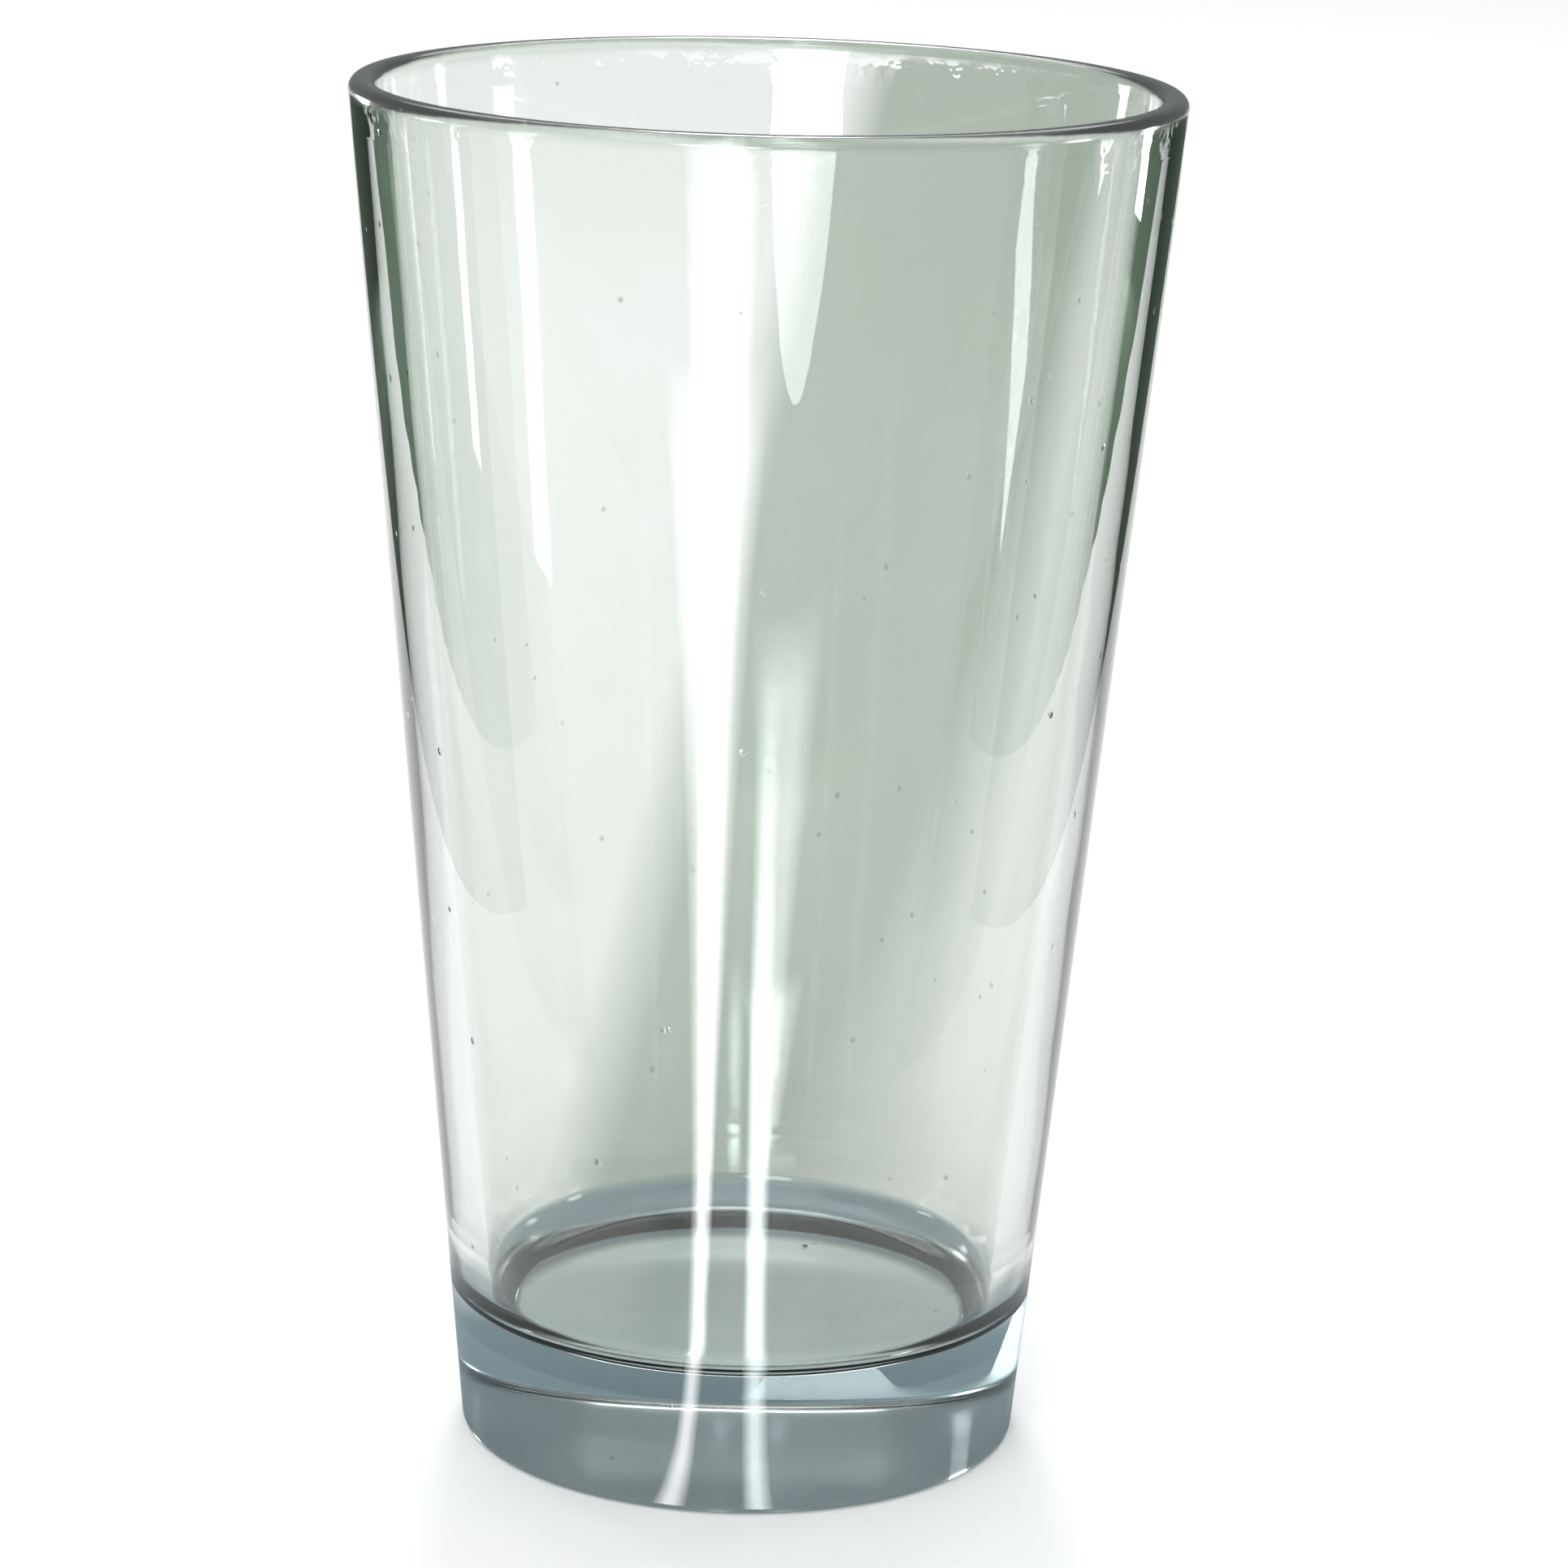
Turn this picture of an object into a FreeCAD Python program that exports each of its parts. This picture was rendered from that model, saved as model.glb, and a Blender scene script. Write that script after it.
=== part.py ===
import FreeCAD, Part
import math
import os

os.makedirs("parts", exist_ok=True)

# A tapered bar mixing glass in clear material, standing mouth up.
# Millimetres. +Z is up, and the origin is the centre of the face it rests on.
# Every piece is a solid of revolution about the Z axis, drawn as a half section (radius, height).

# Overall size
glass_height = 149.2
rim_diameter = 88.9
foot_diameter = 61.3

# Wall and rim of the cup
wall_at_rim = 3.0
wall_at_floor = 4.1
rim_flat_width = 0.4

# Floor of the cup
floor_height = 14.8
floor_thickness = 2.5
floor_fillet_radius = 4.0

# Joint between the cup and its base
spigot_length = 4.7
spigot_chamfer = 3.0
collar_thickness = 1.6
bond_thickness = 0.15

# Base
foot_edge_radius = 1.0
foot_ring_width = 5.0
underside_depth = 0.4

# The spigot hangs below the floor, and the joint shows outside where its shoulder starts.
spigot_foot_height = floor_height - floor_thickness
joint_height = spigot_foot_height + spigot_length

# The lip is rounded on both sides of a narrow flat.
rim_edge_radius = (wall_at_rim - rim_flat_width) / 2


def outer_radius(height):
    """Outside radius of the straight taper at a height."""
    slope = (rim_diameter - foot_diameter) / 2 / glass_height
    return foot_diameter / 2 + slope * height


def point(radius, height):
    """A point of a half section."""
    return FreeCAD.Vector(radius, 0, height)


def line(start, end):
    """A straight edge of a half section."""
    return Part.LineSegment(start, end).toShape()


def arc(start, centre, end):
    """The shorter arc about centre from start to end."""
    radius = (start - centre).Length
    middle_way = ((start - centre) + (end - centre)).normalize()
    return Part.Arc(start, centre + middle_way * radius, end).toShape()


def turned(edges):
    """The solid that a closed half section sweeps in one turn about the Z axis."""
    section = Part.Face(Part.Wire(edges))
    solid = section.revolve(FreeCAD.Vector(0, 0, 0), FreeCAD.Vector(0, 0, 1), 360)
    if solid.Volume < 0:
        solid.reverse()
    return solid


def along(start, end):
    """The direction from start to end, and the direction at right angles that leads to the axis."""
    up = (end - start).normalize()
    inwards = FreeCAD.Vector(-up.z, 0, up.x)
    return up, inwards


def spigot_outline(growth):
    """The joint faces from the outside taper to the axis, moved out and down by growth.

    The cup ends in a spigot with a chamfered foot, and its shoulder rests on the base's collar.
    """
    shoulder_height = joint_height - growth
    foot_height = spigot_foot_height - growth
    spigot_radius = outer_radius(joint_height) - collar_thickness + growth
    # Moving all three faces out by growth makes the legs of the 45 degree chamfer this much longer.
    chamfer = spigot_chamfer + growth * (2 - math.sqrt(2))
    return [
        point(outer_radius(shoulder_height), shoulder_height),
        point(spigot_radius, shoulder_height),
        point(spigot_radius, foot_height + chamfer),
        point(spigot_radius - chamfer, foot_height),
        point(0, foot_height),
    ]


def chain(points):
    """Straight edges from each point to the next."""
    return [line(start, end) for start, end in zip(points, points[1:])]


def glass_body():
    """The cup: a tapered wall with a rounded lip, a filleted floor and a spigot below."""
    outer_in = along(point(outer_radius(0), 0), point(outer_radius(glass_height), glass_height))[1]
    inner_low = point(outer_radius(floor_height) - wall_at_floor, floor_height)
    inner_high = point(outer_radius(glass_height) - wall_at_rim, glass_height)
    inner_up, inner_in = along(inner_low, inner_high)

    # The lip's two rounded edges touch the tapers and the top plane.
    edge_height = glass_height - rim_edge_radius
    outer_edge = point(outer_radius(edge_height) + rim_edge_radius / outer_in.x, edge_height)
    lip_outside = outer_edge - outer_in * rim_edge_radius
    inner_wall_radius = inner_high.x - rim_edge_radius * inner_up.x / inner_up.z
    inner_edge = point(inner_wall_radius - rim_edge_radius / inner_in.x, edge_height)
    lip_inside = inner_edge + inner_in * rim_edge_radius
    lip_top_outer = point(outer_edge.x, glass_height)
    lip_top_inner = point(inner_edge.x, glass_height)

    # The fillet touches the inside wall and the flat floor.
    fillet_centre_height = floor_height + floor_fillet_radius
    rise = fillet_centre_height - inner_low.z
    fillet_centre_radius = inner_low.x + (floor_fillet_radius - rise * inner_in.z) / inner_in.x
    fillet_centre = point(fillet_centre_radius, fillet_centre_height)
    fillet_on_wall = fillet_centre - inner_in * floor_fillet_radius
    fillet_on_floor = point(fillet_centre.x, floor_height)

    joint = spigot_outline(0)
    edges = [
        line(joint[0], lip_outside),
        arc(lip_outside, outer_edge, lip_top_outer),
        line(lip_top_outer, lip_top_inner),
        arc(lip_top_inner, inner_edge, lip_inside),
        line(lip_inside, fillet_on_wall),
        arc(fillet_on_wall, fillet_centre, fillet_on_floor),
        line(fillet_on_floor, point(0, floor_height)),
        line(point(0, floor_height), joint[-1]),
    ]
    return turned(edges + chain(joint[::-1]))


def bond_layer():
    """The clear bond that fills the gap between the cup's spigot and the base."""
    upper = spigot_outline(0)
    lower = spigot_outline(bond_thickness)
    edges = chain(upper)
    edges.append(line(upper[-1], lower[-1]))
    edges.extend(chain(lower[::-1]))
    edges.append(line(lower[0], upper[0]))
    return turned(edges)


def solid_base():
    """The thick clear base: a collar round the spigot, a rounded foot edge and a dished underside."""
    joint = spigot_outline(bond_thickness)
    outer_in = along(point(outer_radius(0), 0), joint[0])[1]

    # The foot's rounded edge touches the outside taper and the face it rests on.
    edge_centre_height = foot_edge_radius
    edge_centre_radius = outer_radius(edge_centre_height) - foot_edge_radius / -outer_in.x
    edge_centre = point(edge_centre_radius, edge_centre_height)
    edge_outside = edge_centre - outer_in * foot_edge_radius
    edge_below = point(edge_centre.x, 0)

    # The underside is a shallow dome inside the ring that the glass stands on.
    dish_radius = edge_below.x - foot_ring_width
    dome_radius = (dish_radius ** 2 + underside_depth ** 2) / (2 * underside_depth)
    dome_centre = point(0, underside_depth - dome_radius)
    dish_edge = point(dish_radius, 0)
    dish_top = point(0, underside_depth)

    edges = chain(joint[::-1])
    edges.append(line(joint[0], edge_outside))
    edges.append(arc(edge_outside, edge_centre, edge_below))
    edges.append(line(edge_below, dish_edge))
    edges.append(arc(dish_edge, dome_centre, dish_top))
    edges.append(line(dish_top, joint[-1]))
    return turned(edges)


for build in (glass_body, bond_layer, solid_base):
    shape = build()
    shape.exportStep("parts/" + build.__name__ + ".step")
    box = shape.optimalBoundingBox(False)
    print(build.__name__, "volume", round(shape.Volume), "valid", shape.isValid())
    print("  solids", len(shape.Solids), "radius", round(box.XMax, 3))
    print("  height", round(box.ZMin, 3), "to", round(box.ZMax, 3))
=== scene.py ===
# %% [markdown]
# # A clear mixing glass
# This lesson models a bar's mixing glass: a tapered clear cup, bonded to a thick clear base. The
# engineering model is loaded first and never changed. Every new piece is turned to fit it, gets a glass
# finish, and takes the place of one engineering piece. Lengths are in metres, +Z is up, and the glass
# stands on height zero.

# %% Load the frame
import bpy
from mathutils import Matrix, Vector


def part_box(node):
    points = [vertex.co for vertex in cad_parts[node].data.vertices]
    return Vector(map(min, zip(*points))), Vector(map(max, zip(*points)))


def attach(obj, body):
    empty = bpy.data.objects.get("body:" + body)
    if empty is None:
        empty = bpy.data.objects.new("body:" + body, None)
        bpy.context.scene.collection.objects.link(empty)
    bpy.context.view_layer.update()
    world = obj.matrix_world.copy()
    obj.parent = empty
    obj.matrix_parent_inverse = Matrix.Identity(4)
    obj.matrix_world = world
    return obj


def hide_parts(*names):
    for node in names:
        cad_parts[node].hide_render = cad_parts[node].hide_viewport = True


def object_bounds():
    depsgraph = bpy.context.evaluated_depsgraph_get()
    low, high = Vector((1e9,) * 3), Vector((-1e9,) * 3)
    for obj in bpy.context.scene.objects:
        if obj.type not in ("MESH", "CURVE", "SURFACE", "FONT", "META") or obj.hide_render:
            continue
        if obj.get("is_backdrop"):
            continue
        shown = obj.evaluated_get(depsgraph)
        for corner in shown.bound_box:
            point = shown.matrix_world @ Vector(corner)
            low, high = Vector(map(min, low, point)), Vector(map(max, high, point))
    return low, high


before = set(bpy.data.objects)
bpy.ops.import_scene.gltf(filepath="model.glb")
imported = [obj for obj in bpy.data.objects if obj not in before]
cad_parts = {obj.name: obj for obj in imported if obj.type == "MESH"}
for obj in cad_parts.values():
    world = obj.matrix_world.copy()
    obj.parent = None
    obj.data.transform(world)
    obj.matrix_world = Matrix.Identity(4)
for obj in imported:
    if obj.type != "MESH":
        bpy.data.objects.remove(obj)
cad_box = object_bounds()
print("the engineering model is", round(cad_box[1][2], 4), "m high")

# %% [markdown]
# ## Sizes
# The outside is one straight taper from the foot to the lip. Heights come from the boxes of the engineering
# pieces, so they can't drift from it. A box can't show the wall, the floor or the inside of the joint, so
# those sizes are named in the next cell. The millimetre gets a name too, because glass is measured in it.

# %% Measure the frame
import math

import bmesh
import bpy
from mathutils import Matrix, Vector

MM = 0.001
cup_low, cup_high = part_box("glass_body")
bond_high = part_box("bond_layer")[1]
base_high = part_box("solid_base")[1]

HEIGHT = cup_high.z
JOINT_HEIGHT = bond_high.z
SPIGOT_FOOT = cup_low.z
BOND_THICKNESS = JOINT_HEIGHT - base_high.z
print("height", round(HEIGHT / MM, 2), "mm, joint at", round(JOINT_HEIGHT / MM, 2), "mm")
print("bond", round(BOND_THICKNESS / MM, 3), "mm thick")

# %% [markdown]
# A pint mixing glass has a wall of 3 to 4 mm, thicker towards the floor, where the mould's core is
# narrower. The lip is rounded on both sides of a narrow flat. Two small functions give the outside and
# inside radius at any height, so a corner of any section is written as a height and never as a second copy
# of a radius.

# %% Name the sizes
RIM_RADIUS = 44.45 * MM
FOOT_RADIUS = 30.65 * MM
WALL_AT_RIM = 3.0 * MM
WALL_AT_FLOOR = 4.1 * MM
LIP_FLAT = 0.4 * MM
FLOOR_HEIGHT = 14.8 * MM
FLOOR_FILLET = 4.0 * MM
SPIGOT_CHAMFER = 3.0 * MM
COLLAR_THICKNESS = 1.6 * MM
FOOT_EDGE_RADIUS = 1.0 * MM
FOOT_RING_WIDTH = 5.0 * MM
UNDERSIDE_DEPTH = 0.4 * MM


def outer_radius(height):
    return FOOT_RADIUS + (RIM_RADIUS - FOOT_RADIUS) * height / HEIGHT


def inner_radius(height):
    share = (height - FLOOR_HEIGHT) / (HEIGHT - FLOOR_HEIGHT)
    wall = WALL_AT_FLOOR + (WALL_AT_RIM - WALL_AT_FLOOR) * share
    return outer_radius(height) - wall


taper = math.degrees(math.atan((RIM_RADIUS - FOOT_RADIUS) / HEIGHT))
print("taper", round(taper, 2), "degrees a side, mouth", round(2 * inner_radius(HEIGHT) / MM, 1), "mm wide")

# %% [markdown]
# ## Drawing and turning a section
# Round glassware is drawn as half of its section and turned about its axis. A cylinder with a Solidify
# modifier would be quicker, but its wall would have one thickness and its floor no fillet, and clear glass
# shows both. The section starts with one corner on the axis. Extruding the last corner makes an edge to the
# next one, so a section grows corner by corner.

# %% Draw a section
def draw_section(corners):
    section = bmesh.new()
    tip = bmesh.ops.create_vert(section, co=(corners[0][0], 0, corners[0][1]))["vert"][0]
    points = [tip]
    for radius, height in corners[1:]:
        tip = bmesh.ops.extrude_vert_indiv(section, verts=[tip])["verts"][0]
        tip.co = (radius, 0, height)
        points.append(tip)
    return section, points


trial, trial_points = draw_section([(0, 0), (FOOT_RADIUS, 0), (RIM_RADIUS, HEIGHT)])
print("a trial section has", len(trial_points), "corners and", len(trial.edges), "edges")
trial.free()

# %% [markdown]
# A bevel on one corner rounds it with an arc that touches both edges. The bevel operator wants the distance
# from the corner to where the arc starts, and that depends on the angle between the edges: a blunt corner
# needs a short distance, a sharp one a long distance. This helper works it out, so the lesson can name real
# radii.

# %% Round a corner
def round_corner(section, corner, radius, segments):
    arms = [edge.other_vert(corner).co - corner.co for edge in corner.link_edges]
    setback = radius / math.tan(arms[0].angle(arms[1]) / 2)
    bmesh.ops.bevel(
        section, geom=[corner], offset=setback, affect="VERTICES",
        segments=segments, profile=0.5, material=-1,
    )


right_angle = math.radians(90)
print("a 1 mm round on a right angle starts", round(1 / math.tan(right_angle / 2), 2), "mm from the corner")

# %% [markdown]
# The spin operator turns the section once round the axis and joins the last copy to the first. The corners
# on the axis fall together in one pole, so doubles are merged, and the normals are then made to point
# outwards. Glass bends light by its normals, so many steps keep a wall smooth.

# %% Turn a section
TURN_STEPS = 240
MERGE_DISTANCE = 0.001 * MM


def turn_section(section):
    bmesh.ops.spin(
        section, geom=section.verts[:] + section.edges[:], cent=(0, 0, 0),
        axis=(0, 0, 1), angle=math.tau, steps=TURN_STEPS, use_merge=True,
    )
    bmesh.ops.remove_doubles(section, verts=section.verts[:], dist=MERGE_DISTANCE)
    bmesh.ops.recalc_face_normals(section, faces=section.faces[:])


print("each face of the wall is", round(math.tau * RIM_RADIUS / TURN_STEPS / MM, 2), "mm wide at the lip")

# %% [markdown]
# A turned section becomes an object with two materials: the glass itself, and the one for the hidden faces
# of the joint. Faces are shaded smooth, so that 240 flats read as one round wall. Edges that are sharp on
# the real piece would smear if they were smoothed too, so they are marked sharp by their angle.

# %% Finish a piece
SHARP_ANGLE = math.radians(28)
GLASS_FACE = 0
JOINT_FACE = 1


def finish_piece(name, section, materials):
    mesh = bpy.data.meshes.new(name)
    for material in materials:
        mesh.materials.append(material)
    section.to_mesh(mesh)
    section.free()
    mesh.shade_smooth()
    mesh.set_sharp_from_angle(angle=SHARP_ANGLE)
    piece = bpy.data.objects.new(name, mesh)
    bpy.context.scene.collection.objects.link(piece)
    joint_faces = sum(1 for face in mesh.polygons if face.material_index == JOINT_FACE)
    print(name, "has", len(mesh.polygons), "faces,", joint_faces, "of them in the joint")
    return piece


print("edges sharper than", round(math.degrees(SHARP_ANGLE)), "degrees stay sharp")

# %% [markdown]
# ## Glass that looks handled
# Perfect glass looks drawn by a computer. Moulded glass has three small faults that the eye knows: the wall
# is faintly wavy, fine specks and dust sit on it, and wiping leaves areas that are a little less glossy.
# All of them could be painted as images, but small patterns built from nodes stay sharp at any distance. A
# few kinds of node make them all, so each kind gets a helper that takes numbers or the outputs of other
# nodes.

# %% Node helpers
def set_input(tree, socket, value):
    if isinstance(value, bpy.types.NodeSocket):
        tree.links.new(value, socket)
    elif isinstance(value, tuple):
        socket.default_value = (*value, 1)
    else:
        socket.default_value = value


def compute(tree, operation, first, second):
    node = tree.nodes.new("ShaderNodeMath")
    node.operation = operation
    set_input(tree, node.inputs[0], first)
    set_input(tree, node.inputs[1], second)
    return node.outputs["Value"]


def remap(tree, value, low, high, out_low=0, out_high=1):
    node = tree.nodes.new("ShaderNodeMapRange")
    set_input(tree, node.inputs["Value"], value)
    set_input(tree, node.inputs["From Min"], low)
    set_input(tree, node.inputs["From Max"], high)
    set_input(tree, node.inputs["To Min"], out_low)
    set_input(tree, node.inputs["To Max"], out_high)
    return node.outputs["Result"]


print("numbers, colours and links all go through", set_input.__name__)

# %% [markdown]
# A Mix node set to RGBA keeps its colours in inputs 6 and 7 and its result in output 2, because the same
# node also mixes numbers and vectors. A Bump node tilts the normal as if the surface had the given height,
# and takes an earlier bump as its starting normal, so small faults can be laid over each other.

# %% Colour and bump helpers
MIX_FIRST = 6
MIX_SECOND = 7
MIX_RESULT = 2


def blend_colours(tree, share, first, second):
    node = tree.nodes.new("ShaderNodeMix")
    node.data_type = "RGBA"
    set_input(tree, node.inputs["Factor"], share)
    set_input(tree, node.inputs[MIX_FIRST], first)
    set_input(tree, node.inputs[MIX_SECOND], second)
    return node.outputs[MIX_RESULT]


def add_bump(tree, height, distance, before=None):
    node = tree.nodes.new("ShaderNodeBump")
    node.inputs["Distance"].default_value = distance
    set_input(tree, node.inputs["Height"], height)
    if before is not None:
        set_input(tree, node.inputs["Normal"], before)
    return node.outputs["Normal"]


print("colours mix in sockets", MIX_FIRST, "and", MIX_SECOND)

# %% [markdown]
# Every texture reads Object coordinates. They are metres on the piece, so a noise scale is in cycles per
# metre and the pattern stays with the glass. The height above the foot, which is the Z of the same
# coordinates, marks off zones such as the lip.

# %% Texture helpers
SPECK_CORE = 0.4


def object_place(tree):
    return tree.nodes.new("ShaderNodeTexCoord").outputs["Object"]


def add_noise(tree, scale, detail):
    noise = tree.nodes.new("ShaderNodeTexNoise")
    noise.inputs["Scale"].default_value = scale
    noise.inputs["Detail"].default_value = detail
    tree.links.new(object_place(tree), noise.inputs["Vector"])
    return noise.outputs["Fac"]


def add_specks(tree, spacing, size):
    cells = tree.nodes.new("ShaderNodeTexVoronoi")
    cells.inputs["Scale"].default_value = 1 / spacing
    tree.links.new(object_place(tree), cells.inputs["Vector"])
    edge = size / spacing
    return remap(tree, cells.outputs["Distance"], edge, SPECK_CORE * edge)


def height_zone(tree, low, high, out_low=0, out_high=1):
    parts = tree.nodes.new("ShaderNodeSeparateXYZ")
    tree.links.new(object_place(tree), parts.inputs["Vector"])
    return remap(tree, parts.outputs["Z"], low, high, out_low, out_high)


example_scale = 40
print("a noise scale of", example_scale, "gives waves", round(1 / example_scale / MM), "mm long")

# %% [markdown]
# Finishes are laid on in steps, so two more helpers reach into a material's shader: one plugs a value into
# it, and the other finds what is plugged in already, so that a later step can build on it.

# %% Shader helpers
def shader_of(tree):
    return tree.nodes["Principled BSDF"]


def plug(tree, name, value):
    set_input(tree, shader_of(tree).inputs[name], value)


def plugged(tree, name):
    return shader_of(tree).inputs[name].links[0].from_socket


def new_material(name):
    material = bpy.data.materials.new(name)
    material.use_nodes = True
    return material


print("a finish starts from the shader that every new material has")

# %% [markdown]
# The shader has full transmission, and its base colour is the tint that light picks up where it passes a
# surface. A volume inside the glass would tint light by the way that it travels, as real glass does, but it
# is slow and noisy, and the base colour gives nearly the same look. The real cup is almost colourless with
# a trace of green-grey, and the base is blue-grey, so the tint is what tells the two apart. Each glass
# blends two close tints.

# %% Glass material
GLASS_IOR = 1.5
CLOUD_SCALE = 45
CLOUD_RANGE = (0.35, 0.7)
WIPE_SCALE = 70
WIPE_RANGE = (0.5, 0.75)
WAVE_SCALE = 38
SPECK_SPACING = 8 * MM
SPECK_SIZE = 0.42 * MM
SPECK_DARKNESS = 0.45
SPECK_HEIGHT = 0.03 * MM


def clear_glass(name, tint, cloudy_tint, waviness, gloss_loss):
    material = new_material(name)
    tree = material.node_tree
    plug(tree, "IOR", GLASS_IOR)
    plug(tree, "Transmission Weight", 1.0)

    cloud = remap(tree, add_noise(tree, CLOUD_SCALE, detail=4), *CLOUD_RANGE)
    specks = add_specks(tree, SPECK_SPACING, SPECK_SIZE)
    speck_tint = tuple(SPECK_DARKNESS * part for part in tint)
    clean = blend_colours(tree, cloud, tint, cloudy_tint)
    plug(tree, "Base Color", blend_colours(tree, specks, clean, speck_tint))
    plug(tree, "Roughness", remap(tree, add_noise(tree, WIPE_SCALE, detail=5), *WIPE_RANGE, 0, gloss_loss))

    wavy = add_bump(tree, add_noise(tree, WAVE_SCALE, detail=1), waviness)
    plug(tree, "Normal", add_bump(tree, specks, SPECK_HEIGHT, wavy))
    print(name, "has", len(tree.nodes), "nodes")
    return material


print("specks are", round(2 * SPECK_SIZE / MM, 2), "mm wide and about", round(SPECK_SPACING / MM), "mm apart")

# %% [markdown]
# The cup's wall is a little wavier than the base, because it is thin and cools unevenly. The base is thick,
# so it keeps its shape, but it is wiped and set down more, which costs it gloss.

# %% The two glasses
CUP_TINT = (0.84, 0.87, 0.84)
CUP_CLOUD = (0.87, 0.89, 0.875)
BASE_TINT = (0.66, 0.78, 0.78)
BASE_CLOUD = (0.70, 0.81, 0.81)
cup_glass = clear_glass("cup_glass", CUP_TINT, CUP_CLOUD, waviness=0.06 * MM, gloss_loss=0.02)
base_glass = clear_glass("base_glass", BASE_TINT, BASE_CLOUD, waviness=0.04 * MM, gloss_loss=0.03)
cup_tree = cup_glass.node_tree
base_tree = base_glass.node_tree

# %% [markdown]
# A lip is the last place that the mould closes and the first that is ground and polished, so it is never as
# true as the wall. Moving its vertices could make it uneven, but that would leave the engineering size, and
# a bump bends the light just as well. The lip is also seen edge-on, through far more glass than the wall,
# so it looks greener, duller and a little less clear.

# %% Uneven lip
LIP_ZONE = 5 * MM
LIP_FULL = 1 * MM
LIP_WAVE_SCALE = 220
LIP_WAVE_HEIGHT = 0.07 * MM
LIP_EDGE = (HEIGHT - 2.2 * MM, HEIGHT - 0.8 * MM)
LIP_TINT_EDGE = (HEIGHT - 2.0 * MM, HEIGHT - 0.6 * MM)
LIP_TINT = (0.42, 0.50, 0.42)
LIP_TINT_SHARE = 0.7
LIP_ROUGHNESS = 0.18
LIP_CLEARNESS = 0.94

lip_zone = height_zone(cup_tree, HEIGHT - LIP_ZONE, HEIGHT - LIP_FULL)
lip_waves = compute(cup_tree, "MULTIPLY", lip_zone, add_noise(cup_tree, LIP_WAVE_SCALE, detail=3))
plug(cup_tree, "Normal", add_bump(cup_tree, lip_waves, LIP_WAVE_HEIGHT, plugged(cup_tree, "Normal")))

lip_share = height_zone(cup_tree, *LIP_TINT_EDGE, 0, LIP_TINT_SHARE)
plug(cup_tree, "Base Color", blend_colours(cup_tree, lip_share, plugged(cup_tree, "Base Color"), LIP_TINT))
lip_dullness = height_zone(cup_tree, *LIP_EDGE, 0, LIP_ROUGHNESS)
plug(cup_tree, "Roughness", compute(cup_tree, "ADD", plugged(cup_tree, "Roughness"), lip_dullness))
plug(cup_tree, "Transmission Weight", height_zone(cup_tree, *LIP_EDGE, 1, LIP_CLEARNESS))
print("the lip's finish covers the top", round(LIP_ZONE / MM, 1), "mm")

# %% [markdown]
# The fillet round the cup's floor is where the mould's core pulls away last, and that leaves it slightly
# uneven. It takes one more bump on top of the others, faded out above the fillet and on the floor. Bar
# spoons and ice scratch the floor, so it is duller than the wall. Scratches could be drawn one by one, but
# at this size they only blur what shows through them, and that is what a little roughness does.

# %% Worn floor
FLOOR_ROUGHNESS = 0.10
FILLET_WAVE_SCALE = 95
FILLET_UNEVENNESS = 0.15 * MM
FILLET_LEAD_IN = 1 * MM

fillet_starts = height_zone(cup_tree, FLOOR_HEIGHT, FLOOR_HEIGHT + FILLET_LEAD_IN)
fillet_ends = height_zone(cup_tree, FLOOR_HEIGHT + 2 * FLOOR_FILLET, FLOOR_HEIGHT + FLOOR_FILLET)
fillet_zone = compute(cup_tree, "MULTIPLY", fillet_starts, fillet_ends)
fillet_noise = add_noise(cup_tree, FILLET_WAVE_SCALE, detail=1)
fillet_waves = compute(cup_tree, "MULTIPLY", fillet_zone, fillet_noise)
plug(cup_tree, "Normal", add_bump(cup_tree, fillet_waves, FILLET_UNEVENNESS, plugged(cup_tree, "Normal")))

wear_top = FLOOR_HEIGHT + 1.4 * FLOOR_FILLET
wear_full = FLOOR_HEIGHT + 0.6 * FLOOR_FILLET
floor_wear = height_zone(cup_tree, wear_top, wear_full, 0, FLOOR_ROUGHNESS)
plug(cup_tree, "Roughness", compute(cup_tree, "ADD", plugged(cup_tree, "Roughness"), floor_wear))
print("wear reaches", round(wear_top / MM, 1), "mm above the table")

# %% [markdown]
# The foot is set down on bars and trays all its life, so its edge and its ring are scuffed. The scuffs are
# too fine to draw one by one, but they blur what shows through them, which is why the foot of a used glass
# has no crisp bright line. So they are roughness again, added to the wiped areas and fading out a little
# way up.

# %% Scuffed foot
SCUFF_HEIGHT = 2.5 * MM
SCUFF_FULL = 0.8 * MM
SCUFF_ROUGHNESS = 0.14
scuffs = height_zone(base_tree, SCUFF_HEIGHT, SCUFF_FULL, 0, SCUFF_ROUGHNESS)
plug(base_tree, "Roughness", compute(base_tree, "ADD", plugged(base_tree, "Roughness"), scuffs))
print("scuffs reach", round(SCUFF_HEIGHT / MM, 1), "mm up the foot")

# %% [markdown]
# ## The joint
# The bond fills the joint and has the same bending power as the glass, so light crosses it without a trace.
# Plain glass faces there would show a silvery mirror inside the joint. The hidden faces could be deleted,
# but then the pieces would be open. They get a contact material instead, which is wholly see-through, so
# the closed pieces bend light together like one block.

# %% Contact faces
contact = new_material("optical_contact")
plug(contact.node_tree, "Alpha", 0.0)
print("contact faces let all light through")

# %% [markdown]
# Only the bond's outer edge shows, as a hairline round the glass. Clear resin goes slightly milky where air
# and cleaning water reach it. One even grey would look like a line drawn on the glass, so the hairline is a
# soft blend of two pale greys.

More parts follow.
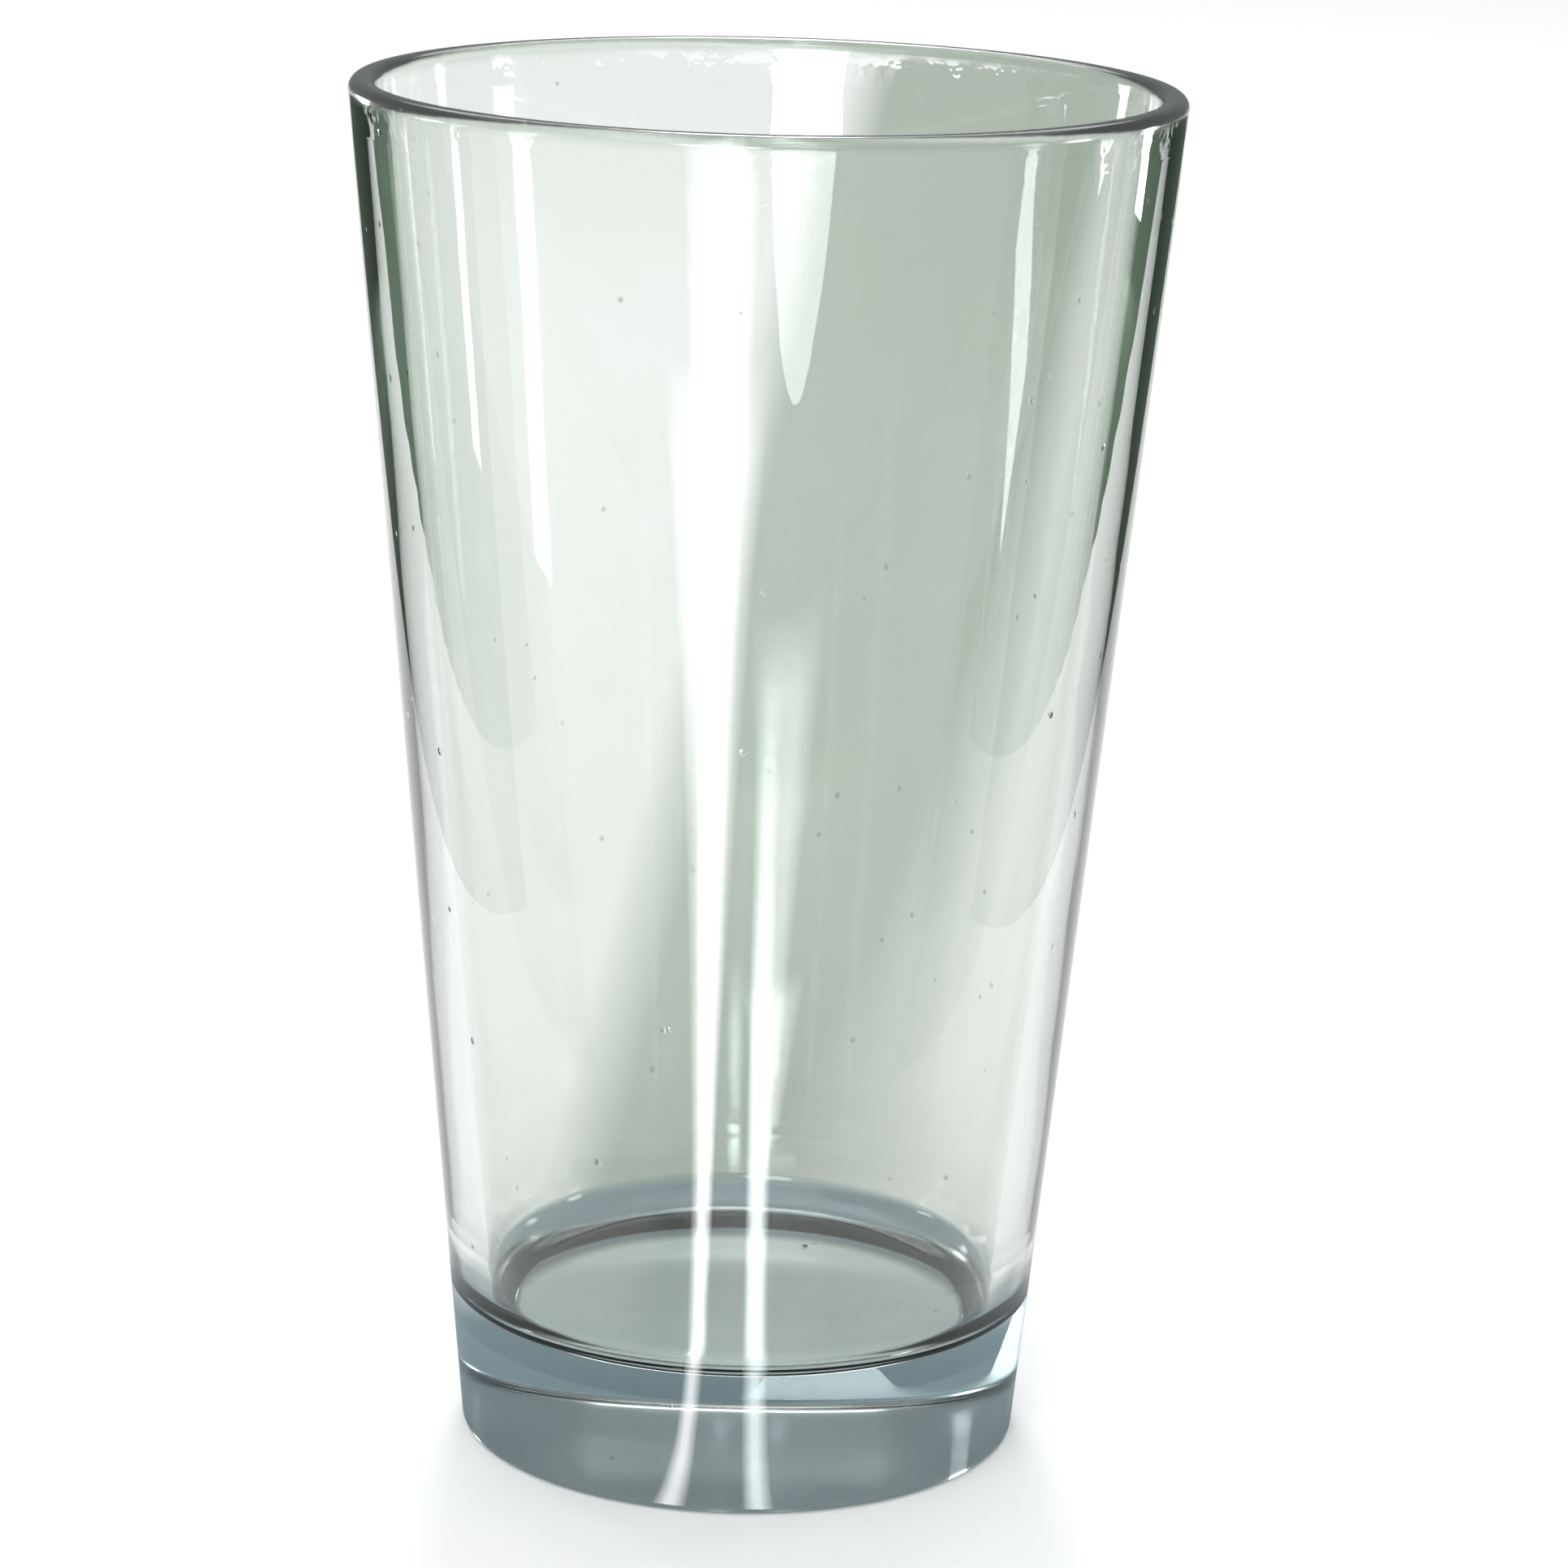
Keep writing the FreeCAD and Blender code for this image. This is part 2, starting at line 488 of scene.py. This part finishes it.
# %% Bond resin
MILK_SCALE = 160
RESIN_CLEAR = (0.52, 0.58, 0.60)
RESIN_MILKY = (0.66, 0.71, 0.73)
RESIN_ROUGHNESS = (0.05, 0.25)
bond_resin = new_material("bond_resin")
bond_tree = bond_resin.node_tree
milky = remap(bond_tree, add_noise(bond_tree, MILK_SCALE, detail=3), *CLOUD_RANGE)
plug(bond_tree, "IOR", GLASS_IOR)
plug(bond_tree, "Transmission Weight", 1.0)
plug(bond_tree, "Base Color", blend_colours(bond_tree, milky, RESIN_CLEAR, RESIN_MILKY))
plug(bond_tree, "Roughness", remap(bond_tree, milky, 0, 1, *RESIN_ROUGHNESS))
print("bond resin has", len(bond_tree.nodes), "nodes")

# %% [markdown]
# ## The cup
# The cup's section runs from its floor out to the wall, up the inside, over the lip, down the outside to
# the joint, and back under the spigot to the axis. The floor meets the wall in a fillet, because a glass
# mould has no sharp inside corners, and it is this fillet that shows as the dark ring above the base.

# %% Draw the cup
FILLET_STEPS = 24
LIP_STEPS = 12
lip_radius = (WALL_AT_RIM - LIP_FLAT) / 2
joint_radius = outer_radius(JOINT_HEIGHT)
spigot_radius = joint_radius - COLLAR_THICKNESS

cup_section, cup_corners = draw_section([
    (0, FLOOR_HEIGHT),
    (inner_radius(FLOOR_HEIGHT), FLOOR_HEIGHT),
    (inner_radius(HEIGHT), HEIGHT),
    (outer_radius(HEIGHT), HEIGHT),
    (joint_radius, JOINT_HEIGHT),
    (spigot_radius, JOINT_HEIGHT),
    (spigot_radius, SPIGOT_FOOT + SPIGOT_CHAMFER),
    (spigot_radius - SPIGOT_CHAMFER, SPIGOT_FOOT),
    (0, SPIGOT_FOOT),
])
floor_corner, inner_lip, outer_lip = cup_corners[1:4]
round_corner(cup_section, floor_corner, FLOOR_FILLET, FILLET_STEPS)
round_corner(cup_section, inner_lip, lip_radius, LIP_STEPS)
round_corner(cup_section, outer_lip, lip_radius, LIP_STEPS)
print("cup section", len(cup_section.verts), "corners, lip radius", round(lip_radius / MM, 2), "mm")

# %% [markdown]
# After the turn, the faces that touch the bond get the contact material. They could be picked by number,
# but numbers change with every edit of the section. They are told apart by where they are and which way
# they face: at the joint or lower, and looking down or outwards. The floor looks up, so it stays glass.

# %% Turn the cup
NEAR = 0.02 * MM
LEANING = 0.1


def outwards(face):
    centre = face.calc_center_median()
    return face.normal.dot(Vector((centre.x, centre.y, 0)).normalized())


turn_section(cup_section)
for face in cup_section.faces:
    in_joint = face.calc_center_median().z <= JOINT_HEIGHT + NEAR
    if in_joint and (face.normal.z < -LEANING or outwards(face) > LEANING):
        face.material_index = JOINT_FACE
glass_cup = finish_piece("glass_cup", cup_section, [cup_glass, contact])

# %% [markdown]
# ## The base
# The base is a thick disc with a low collar that holds the spigot. It could be one block with the cup, but
# the two have different colours, and a joint line shows between them. Its foot edge is only just rounded.
# The glass stands on a ring, and the middle is dished by less than half a millimetre, so it can't rock. The
# dish is two slopes, joined by a wide arc. The faces of the joint keep a hundredth of a millimetre clear of
# the bond, so that no two faces share a place.

# %% Draw the base
CLEAR = 0.01 * MM
DISH_RISE = 0.7
DOME_ROUND = 0.25
EDGE_STEPS = 10
DOME_STEPS = 8
bond_foot = SPIGOT_FOOT - BOND_THICKNESS
bond_chamfer = SPIGOT_CHAMFER + BOND_THICKNESS * (2 - math.sqrt(2))
bond_radius = spigot_radius + BOND_THICKNESS
collar_top = JOINT_HEIGHT - BOND_THICKNESS
dish_radius = outer_radius(0) - FOOT_EDGE_RADIUS - FOOT_RING_WIDTH

base_section, base_corners = draw_section([
    (0, bond_foot - CLEAR),
    (bond_radius - bond_chamfer, bond_foot - CLEAR),
    (bond_radius + CLEAR, bond_foot + bond_chamfer),
    (bond_radius + CLEAR, collar_top - CLEAR),
    (outer_radius(collar_top), collar_top - CLEAR),
    (outer_radius(0), 0),
    (dish_radius, 0),
    (dish_radius / 2, UNDERSIDE_DEPTH * DISH_RISE),
    (0, UNDERSIDE_DEPTH),
])
foot_corner = base_corners[5]
dome_corner = base_corners[7]
round_corner(base_section, foot_corner, FOOT_EDGE_RADIUS, EDGE_STEPS)
round_corner(base_section, dome_corner, DOME_ROUND, DOME_STEPS)
print("base section", len(base_section.verts), "corners, dish", round(2 * dish_radius / MM, 1), "mm across")

# %% [markdown]
# The base's socket is marked in the same way as the spigot, with the directions swapped: its faces look up
# or towards the axis.

# %% Turn the base
turn_section(base_section)
for face in base_section.faces:
    in_socket = face.calc_center_median().z > bond_foot - NEAR
    if in_socket and (face.normal.z > LEANING or outwards(face) < -LEANING):
        face.material_index = JOINT_FACE
glass_base = finish_piece("glass_base", base_section, [base_glass, contact])

# %% [markdown]
# ## The bond
# The bond is a thin shell of resin between the two. A Solidify modifier on the socket's faces could make
# it, but its outer edge would then not follow the taper. It is turned like the glass instead: its section
# follows the spigot on top and the socket below. All its faces are contact faces, except the narrow band
# that reaches the outside.

# %% Draw and turn the bond
EDGE_BAND = 0.1 * MM
bond_top = JOINT_HEIGHT - CLEAR
bond_section, _ = draw_section([
    (0, SPIGOT_FOOT - CLEAR),
    (spigot_radius - SPIGOT_CHAMFER, SPIGOT_FOOT - CLEAR),
    (spigot_radius + CLEAR, SPIGOT_FOOT + SPIGOT_CHAMFER),
    (spigot_radius + CLEAR, bond_top),
    (outer_radius(bond_top), bond_top),
    (outer_radius(collar_top), collar_top),
    (bond_radius, collar_top),
    (bond_radius, bond_foot + bond_chamfer),
    (bond_radius - bond_chamfer, bond_foot),
    (0, bond_foot),
])
turn_section(bond_section)
for face in bond_section.faces:
    face.material_index = JOINT_FACE
    if face.calc_center_median().xy.length > outer_radius(collar_top) - EDGE_BAND:
        face.material_index = GLASS_FACE
clear_bond = finish_piece("clear_bond", bond_section, [bond_resin, contact])

# %% [markdown]
# ## Putting the pieces in place
# Each new piece rides on the glass's one body and takes the place of its engineering piece. Nothing on a
# mixing glass moves, so all three ride on the root.

# %% Join the pieces to the frame
for piece, node, slot in (
    (glass_cup, "glass_body", "cup_glass"),
    (glass_base, "solid_base", "base_glass"),
    (clear_bond, "bond_layer", "clear_bond"),
):
    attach(piece, "root")
    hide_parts(node)
    print(piece.name, "takes the place of", node)

# %% [markdown]
# ## The table
# Clear glass shows only what it bends and mirrors, so the studio matters as much as the glass. The table is
# pale and large, because the wall shows table from close behind the glass to a metre away. It lies a
# twentieth of a millimetre low, so that the foot doesn't share its plane.

# %% Pale table
TABLE_RADIUS = 4.0
TABLE_DROP = 0.05 * MM
TABLE_COLOUR = (0.9, 0.9, 0.9)
TABLE_SIDES = 96
MATTE_ROUGHNESS = 0.9


def matte(name, colour):
    material = new_material(name)
    plug(material.node_tree, "Base Color", colour)
    plug(material.node_tree, "Roughness", MATTE_ROUGHNESS)
    plug(material.node_tree, "Specular IOR Level", 0.0)
    return material


def add_to_studio(name, shape, material):
    mesh = bpy.data.meshes.new(name)
    shape.to_mesh(mesh)
    shape.free()
    mesh.materials.append(material)
    thing = bpy.data.objects.new(name, mesh)
    bpy.context.scene.collection.objects.link(thing)
    thing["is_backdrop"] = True
    return thing


table_shape = bmesh.new()
bmesh.ops.create_circle(table_shape, cap_ends=True, segments=TABLE_SIDES, radius=TABLE_RADIUS)
bmesh.ops.translate(table_shape, verts=table_shape.verts[:], vec=(0, 0, -TABLE_DROP))
add_to_studio("studio_table", table_shape, matte("table_white", TABLE_COLOUR))
print("table", 2 * TABLE_RADIUS, "m across")

# %% [markdown]
# ## Cloths, card and panels
# Flat things on the table are seen through the glass and mirrored in it, and they draw its bands and
# highlights. All of them run away from the glass and change width on the way, as the view does. Tall
# screens round the glass would do the same, but flat pieces are easier to aim, so one helper makes them all
# from a grid. They are hidden from the camera and from the table's light: they shape the glass and leave
# the table white.

# %% A flat piece on the table
WEDGE_STEPS = 40
HALF_LENGTH = 0.5


def add_wedge(
    name, material, azimuth, near, far, near_width, far_width,
    near_shift=0, far_shift=0, flare=1, lift=1 * MM,
):
    shape = bmesh.new()
    shape.loops.layers.uv.new("across_and_along")
    bmesh.ops.create_grid(shape, x_segments=1, y_segments=WEDGE_STEPS, size=HALF_LENGTH, calc_uvs=True)
    for corner in shape.verts:
        along = corner.co.y + HALF_LENGTH
        width = near_width + (far_width - near_width) * along ** flare
        corner.co.x = corner.co.x * width + near_shift + (far_shift - near_shift) * along
        corner.co.y = near + (far - near) * along
    turn = Matrix.Rotation(-math.radians(azimuth), 4, "Z") @ Matrix.Translation((0, 0, lift))
    bmesh.ops.transform(shape, matrix=turn, verts=shape.verts[:])
    wedge = add_to_studio(name, shape, material)
    wedge.visible_camera = False
    wedge.visible_diffuse = False
    wedge.visible_shadow = False
    print(name, "runs from", round(near, 3), "to", round(far, 3), "m")


print("a flat piece has", WEDGE_STEPS, "strips along its length")

# %% [markdown]
# A dark cloth on each side of a glass is an old studio trick. The wall near the outline bends light
# strongly, so it shows the cloth instead of the pale table, and the edges of the glass read as dark bands.

# %% Cloths
CLOTH_COLOUR = (0.10, 0.14, 0.10)
CLOTH_WIDTH = 0.8
CLOTH_START = -0.05
CLOTH_END = 1.1
CLOTH_NEAR_EDGE = 0.18
CLOTH_FAR_EDGE = 0.30
cloth = matte("dark_cloth", CLOTH_COLOUR)
for side, side_name in ((-1, "left"), (1, "right")):
    add_wedge(
        f"dark_cloth_{side_name}", cloth, azimuth=0, near=CLOTH_START, far=CLOTH_END,
        near_width=CLOTH_WIDTH, far_width=CLOTH_WIDTH,
        near_shift=side * (CLOTH_NEAR_EDGE + CLOTH_WIDTH / 2),
        far_shift=side * (CLOTH_FAR_EDGE + CLOTH_WIDTH / 2),
    )

# %% [markdown]
# A room is never evenly bright, and a glass that shows an evenly white table looks flat. A picture of a
# room would break the white up, but a few soft edges are enough and are easier to place. So a card lies
# behind the glass with painted shadows on it, drawn on Object coordinates, and the glass shows them as
# shade on the table. The broad painted shadow runs back and to the right from the foot, as a shadow from a
# window would. Its left edge leans a little, and its right edge leans more.

# %% Broad shade of the card
CARD_LIT = (0.77, 0.775, 0.765)
CARD_SHADE = (0.385, 0.425, 0.375)
LEFT_LEAN = 0.07
LEFT_EDGE = (-0.040, -0.026)
RIGHT_LEAN = 0.25
RIGHT_EDGE = (0.018, -0.018)

# The card's colour is painted light and shade: a lighter grey for lit table and a darker grey for shadow.
painted_shadow_card_paint = matte("painted_shadow_card_paint", CARD_LIT)
card_tree = painted_shadow_card_paint.node_tree
card_parts = card_tree.nodes.new("ShaderNodeSeparateXYZ")
card_tree.links.new(object_place(card_tree), card_parts.inputs["Vector"])


def leaning_edge(lean, edge):
    """0 to 1 over a soft edge that leans by lean metres across for each metre back."""
    shift = compute(card_tree, "MULTIPLY", card_parts.outputs["Y"], -lean)
    across = compute(card_tree, "ADD", shift, card_parts.outputs["X"])
    return remap(card_tree, across, *edge)


# Painted shadow on the card, behind and to the right of the foot.
broad_shade = compute(
    card_tree, "MULTIPLY", leaning_edge(LEFT_LEAN, LEFT_EDGE), leaning_edge(RIGHT_LEAN, RIGHT_EDGE)
)
print("broad shade fades over", round((LEFT_EDGE[1] - LEFT_EDGE[0]) / MM), "mm on its left")

# %% [markdown]
# A narrow painted shadow hugs the foot, where the glass keeps the light away. Under the foot the card has
# no shade, and its paint glows faintly: painted light that brightens the table under the foot and lifts the
# floor of the cup. Both follow the distance from the glass's axis.

# %% Painted shadow and light at the foot
FOOT_SHADE = (0.26, 0.31, 0.34)
FOOT_SHADE_FULL = 0.056
FOOT_SHADE_GONE = 0.070
PAINTED_LIGHT_UNDER_FOOT = 0.45
UNDER_FOOT_LIGHT_COLOUR = (0.98, 1.0, 1.0)
UNDER_FOOT_EDGE = 3 * MM

from_axis = card_tree.nodes.new("ShaderNodeVectorMath")
from_axis.operation = "LENGTH"
card_tree.links.new(object_place(card_tree), from_axis.inputs[0])
reach = from_axis.outputs["Value"]
beyond_foot = remap(card_tree, reach, FOOT_RADIUS - UNDER_FOOT_EDGE, FOOT_RADIUS)
near_foot = remap(card_tree, reach, FOOT_SHADE_GONE, FOOT_SHADE_FULL)

# Painted shadows: the broad one behind the glass, and a narrow one round the foot.
broad_share = compute(card_tree, "MULTIPLY", broad_shade, beyond_foot)
foot_share = compute(card_tree, "MULTIPLY", beyond_foot, near_foot)
card_colour = blend_colours(card_tree, broad_share, CARD_LIT, CARD_SHADE)
plug(card_tree, "Base Color", blend_colours(card_tree, foot_share, card_colour, FOOT_SHADE))
# Painted light: the card's paint glows faintly under the foot.
plug(card_tree, "Emission Color", UNDER_FOOT_LIGHT_COLOUR)
plug(card_tree, "Emission Strength", remap(card_tree, beyond_foot, 0, 1, PAINTED_LIGHT_UNDER_FOOT, 0))
print("foot shade ends", round(FOOT_SHADE_GONE / MM), "mm from the axis")

# %% [markdown]
# The card slides under the glass, in the gap between the table and the foot, so it starts in front of the
# glass and ends a metre behind it.

# %% Card with painted shadows
CARD_LIFT = -0.02 * MM
# Only the glass shows the card, and with it the painted shadows.
add_wedge(
    "painted_shadow_card", painted_shadow_card_paint, azimuth=0, near=-0.09, far=1.0,
    near_width=0.20, far_width=1.2, lift=CARD_LIFT,
)

# %% [markdown]
# The front of the wall leans out, so it mirrors the table on the camera's side. A light panel that lies
# there gives one tall highlight from the lip to the foot: near the foot the glass mirrors the near end of
# the panel, and near the lip the far end. A narrow wedge therefore gives a highlight that widens upwards.
# The panel's own UV lets it fade towards both long edges and over the last part of its length.

# %% Glow of a panel
EDGE_FADE = 0.4
PANEL_COLOUR = (0.8, 0.8, 0.8)


def glowing(name, colour, strength, soft_end):
    material = matte(name, PANEL_COLOUR)
    tree = material.node_tree
    place = tree.nodes.new("ShaderNodeTexCoord")
    parts = tree.nodes.new("ShaderNodeSeparateXYZ")
    tree.links.new(place.outputs["UV"], parts.inputs["Vector"])
    left = remap(tree, parts.outputs["X"], 0, EDGE_FADE)
    right = remap(tree, parts.outputs["X"], 1, 1 - EDGE_FADE)
    end = remap(tree, parts.outputs["Y"], 1, 1 - soft_end, 0, strength)
    glow = compute(tree, "MULTIPLY", compute(tree, "MULTIPLY", end, left), right)
    plug(tree, "Emission Color", colour)
    plug(tree, "Emission Strength", glow)
    return material


PANEL_GLOW = 14
long_glow = glowing("long_panel_glow", (1.0, 0.98, 1.0), PANEL_GLOW, soft_end=0.15)
short_glow = glowing("short_panel_glow", (0.88, 1.0, 1.0), PANEL_GLOW, soft_end=0.3)
print("panels glow with strength", PANEL_GLOW)

# %% [markdown]
# The long panel lies a little to the left of the camera and makes the broad highlight. The short one lies a
# little to the right, is cooler in colour and makes the thin line beside it. Both start just in front of
# the foot.

# %% Light panels
PANEL_START = FOOT_RADIUS + 0.8 * MM
PANEL_LIFT = -0.01 * MM
add_wedge(
    "long_panel", long_glow, azimuth=-168, near=PANEL_START, far=0.45,
    near_width=4 * MM, far_width=0.26, near_shift=1 * MM, flare=1.9, lift=PANEL_LIFT,
)
add_wedge(
    "short_panel", short_glow, azimuth=175, near=PANEL_START, far=0.20,
    near_width=3.5 * MM, far_width=28 * MM, lift=PANEL_LIFT,
)

# %% [markdown]
# ## Lamps
# The world fills the room with a weak cool light. An image of a real room could do this, but an even colour
# is easier to steer. It is what shows wherever the glass mirrors or bends past the table, so it mustn't be
# black.

# %% World
WORLD_COLOUR = (0.88, 0.94, 0.97)
WORLD_STRENGTH = 0.27
world = bpy.data.worlds.new("soft_room")
bpy.context.scene.world = world
world.use_nodes = True
background = world.node_tree.nodes["Background"]
background.inputs["Color"].default_value = (*WORLD_COLOUR, 1)
background.inputs["Strength"].default_value = WORLD_STRENGTH
print("world strength", WORLD_STRENGTH)

# %% [markdown]
# Soft lamps are large for their distance. Each is placed by its direction round the glass, where 0 is
# straight behind it and 180 is the camera, and by its height above the horizon. The ceiling gives most of
# the light, and the back lamp keeps the far table white. The key lamp lights the front. A small strong one
# would show as white blobs in the base, so it is large and weak.

# %% Soft lamps
AIM_HEIGHT = 0.08


def softbox(name, azimuth, elevation, distance, width, height, power, aim=(0, 0, AIM_HEIGHT)):
    lamp_data = bpy.data.lights.new(name, "AREA")
    lamp_data.shape = "RECTANGLE"
    lamp_data.size = width
    lamp_data.size_y = height
    lamp_data.energy = power
    lamp = bpy.data.objects.new(name, lamp_data)
    turn = math.radians(azimuth)
    rise = math.radians(elevation)
    flat = math.cos(rise) * distance
    lamp.location = (flat * math.sin(turn), flat * math.cos(turn), math.sin(rise) * distance + AIM_HEIGHT)
    lamp.rotation_euler = (Vector(aim) - lamp.location).to_track_quat("-Z", "Y").to_euler()
    bpy.context.scene.collection.objects.link(lamp)
    print(name, "gives", round(power, 2), "W")
    return lamp


softbox("key_lamp", azimuth=-168, elevation=44, distance=1.1, width=1.1, height=0.9, power=5)
softbox("ceiling", azimuth=0, elevation=90, distance=1.9, width=3, height=3, power=26)
softbox(
    "back_lamp", azimuth=0, elevation=40, distance=2.1, width=1.8, height=0.8, power=14,
    aim=(0, 1.25, 0),
)

# %% [markdown]
# The other lamps are there to be mirrored. The inside of the far wall works as a curved mirror that looks to
# the sides and past the camera, close to the horizon. Small lamps that stand low at the sides show in it as
# strips, and an oval lamp behind the camera shows as a bright patch under the lip that runs down to a point.
# Two brighter ones at the back and one high above the back are there for small glints. How bright a lamp
# looks in the glass depends on its power for its area, so the helper works its power out from a brightness.

# %% Mirrored lamps
LAMP_BRIGHTNESS = 16
SPARK_BRIGHTNESS = 44


def mirrored_lamp(name, azimuth, distance, up, width, height, roll=0, brightness=LAMP_BRIGHTNESS):
    power = brightness * math.pi * width * height
    lamp = softbox(name, azimuth, 0, distance, width, height, power)
    lamp.location.z = up
    level_aim = Vector((0, 0, up))
    lamp.rotation_euler = (level_aim - lamp.location).to_track_quat("-Z", "Y").to_euler()
    lamp.rotation_euler.rotate_axis("Z", math.radians(roll))
    return lamp


mirrored_lamp("strip_lamp_right", azimuth=91, distance=0.60, up=0.085, width=0.085, height=0.10)
mirrored_lamp("strip_lamp_left", azimuth=-80, distance=0.61, up=0.082, width=0.045, height=0.12, roll=-52)
mirrored_lamp(
    "low_lamp_right", azimuth=57, distance=0.65, up=0.075, width=0.05, height=0.12,
    brightness=SPARK_BRIGHTNESS,
)
mirrored_lamp(
    "low_lamp_left", azimuth=-40, distance=0.68, up=0.11, width=0.07, height=0.12,
    brightness=SPARK_BRIGHTNESS,
)
front_lamp = mirrored_lamp("front_lamp", azimuth=-168, distance=1.2, up=0.27, width=0.50, height=0.30)
front_lamp.data.shape = "ELLIPSE"
softbox("high_lamp", azimuth=-2, elevation=51, distance=1.2, width=0.22, height=0.20, power=4.2)

# %% [markdown]
# ## Camera
# The camera looks slightly down on the glass from a little over half a metre, close enough for the taper to
# look stronger than it is. It is turned by small angles: down to the glass, a touch to the side, and a
# touch round its own line of sight, because a camera in the hand is never quite level. The Standard view
# keeps the table pale.

# %% Camera
CAMERA_DISTANCE = 0.5624
CAMERA_HEIGHT = 0.2163
LOOK_DOWN = 0.2496
LOOK_ASIDE = -0.0062
CAMERA_ROLL = 0.0263
SENSOR_WIDTH_MM = 36
LENS_MM = 122.3
camera_data = bpy.data.cameras.new("camera")
camera_data.sensor_width = SENSOR_WIDTH_MM
camera_data.lens = LENS_MM
camera = bpy.data.objects.new("camera", camera_data)
bpy.context.scene.collection.objects.link(camera)
bpy.context.scene.camera = camera
camera.matrix_world = (
    Matrix.Translation((0, -CAMERA_DISTANCE, CAMERA_HEIGHT))
    @ Matrix.Rotation(LOOK_ASIDE, 4, "Z")
    @ Matrix.Rotation(math.pi / 2 - LOOK_DOWN, 4, "X")
    @ Matrix.Rotation(CAMERA_ROLL, 4, "Z")
)
bpy.context.scene.view_settings.view_transform = "Standard"
print("camera looks down", round(math.degrees(LOOK_DOWN), 1), "degrees")

# %% [markdown]
# ## The size
# The finished look has to fill the same box as the engineering model. Both boxes are printed side by
# side.

# %% Print the boxes
visual_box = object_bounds()
for label, box in (("engineering", cad_box), ("visual", visual_box)):
    print(label, [[round(value / MM, 2) for value in corner] for corner in box])
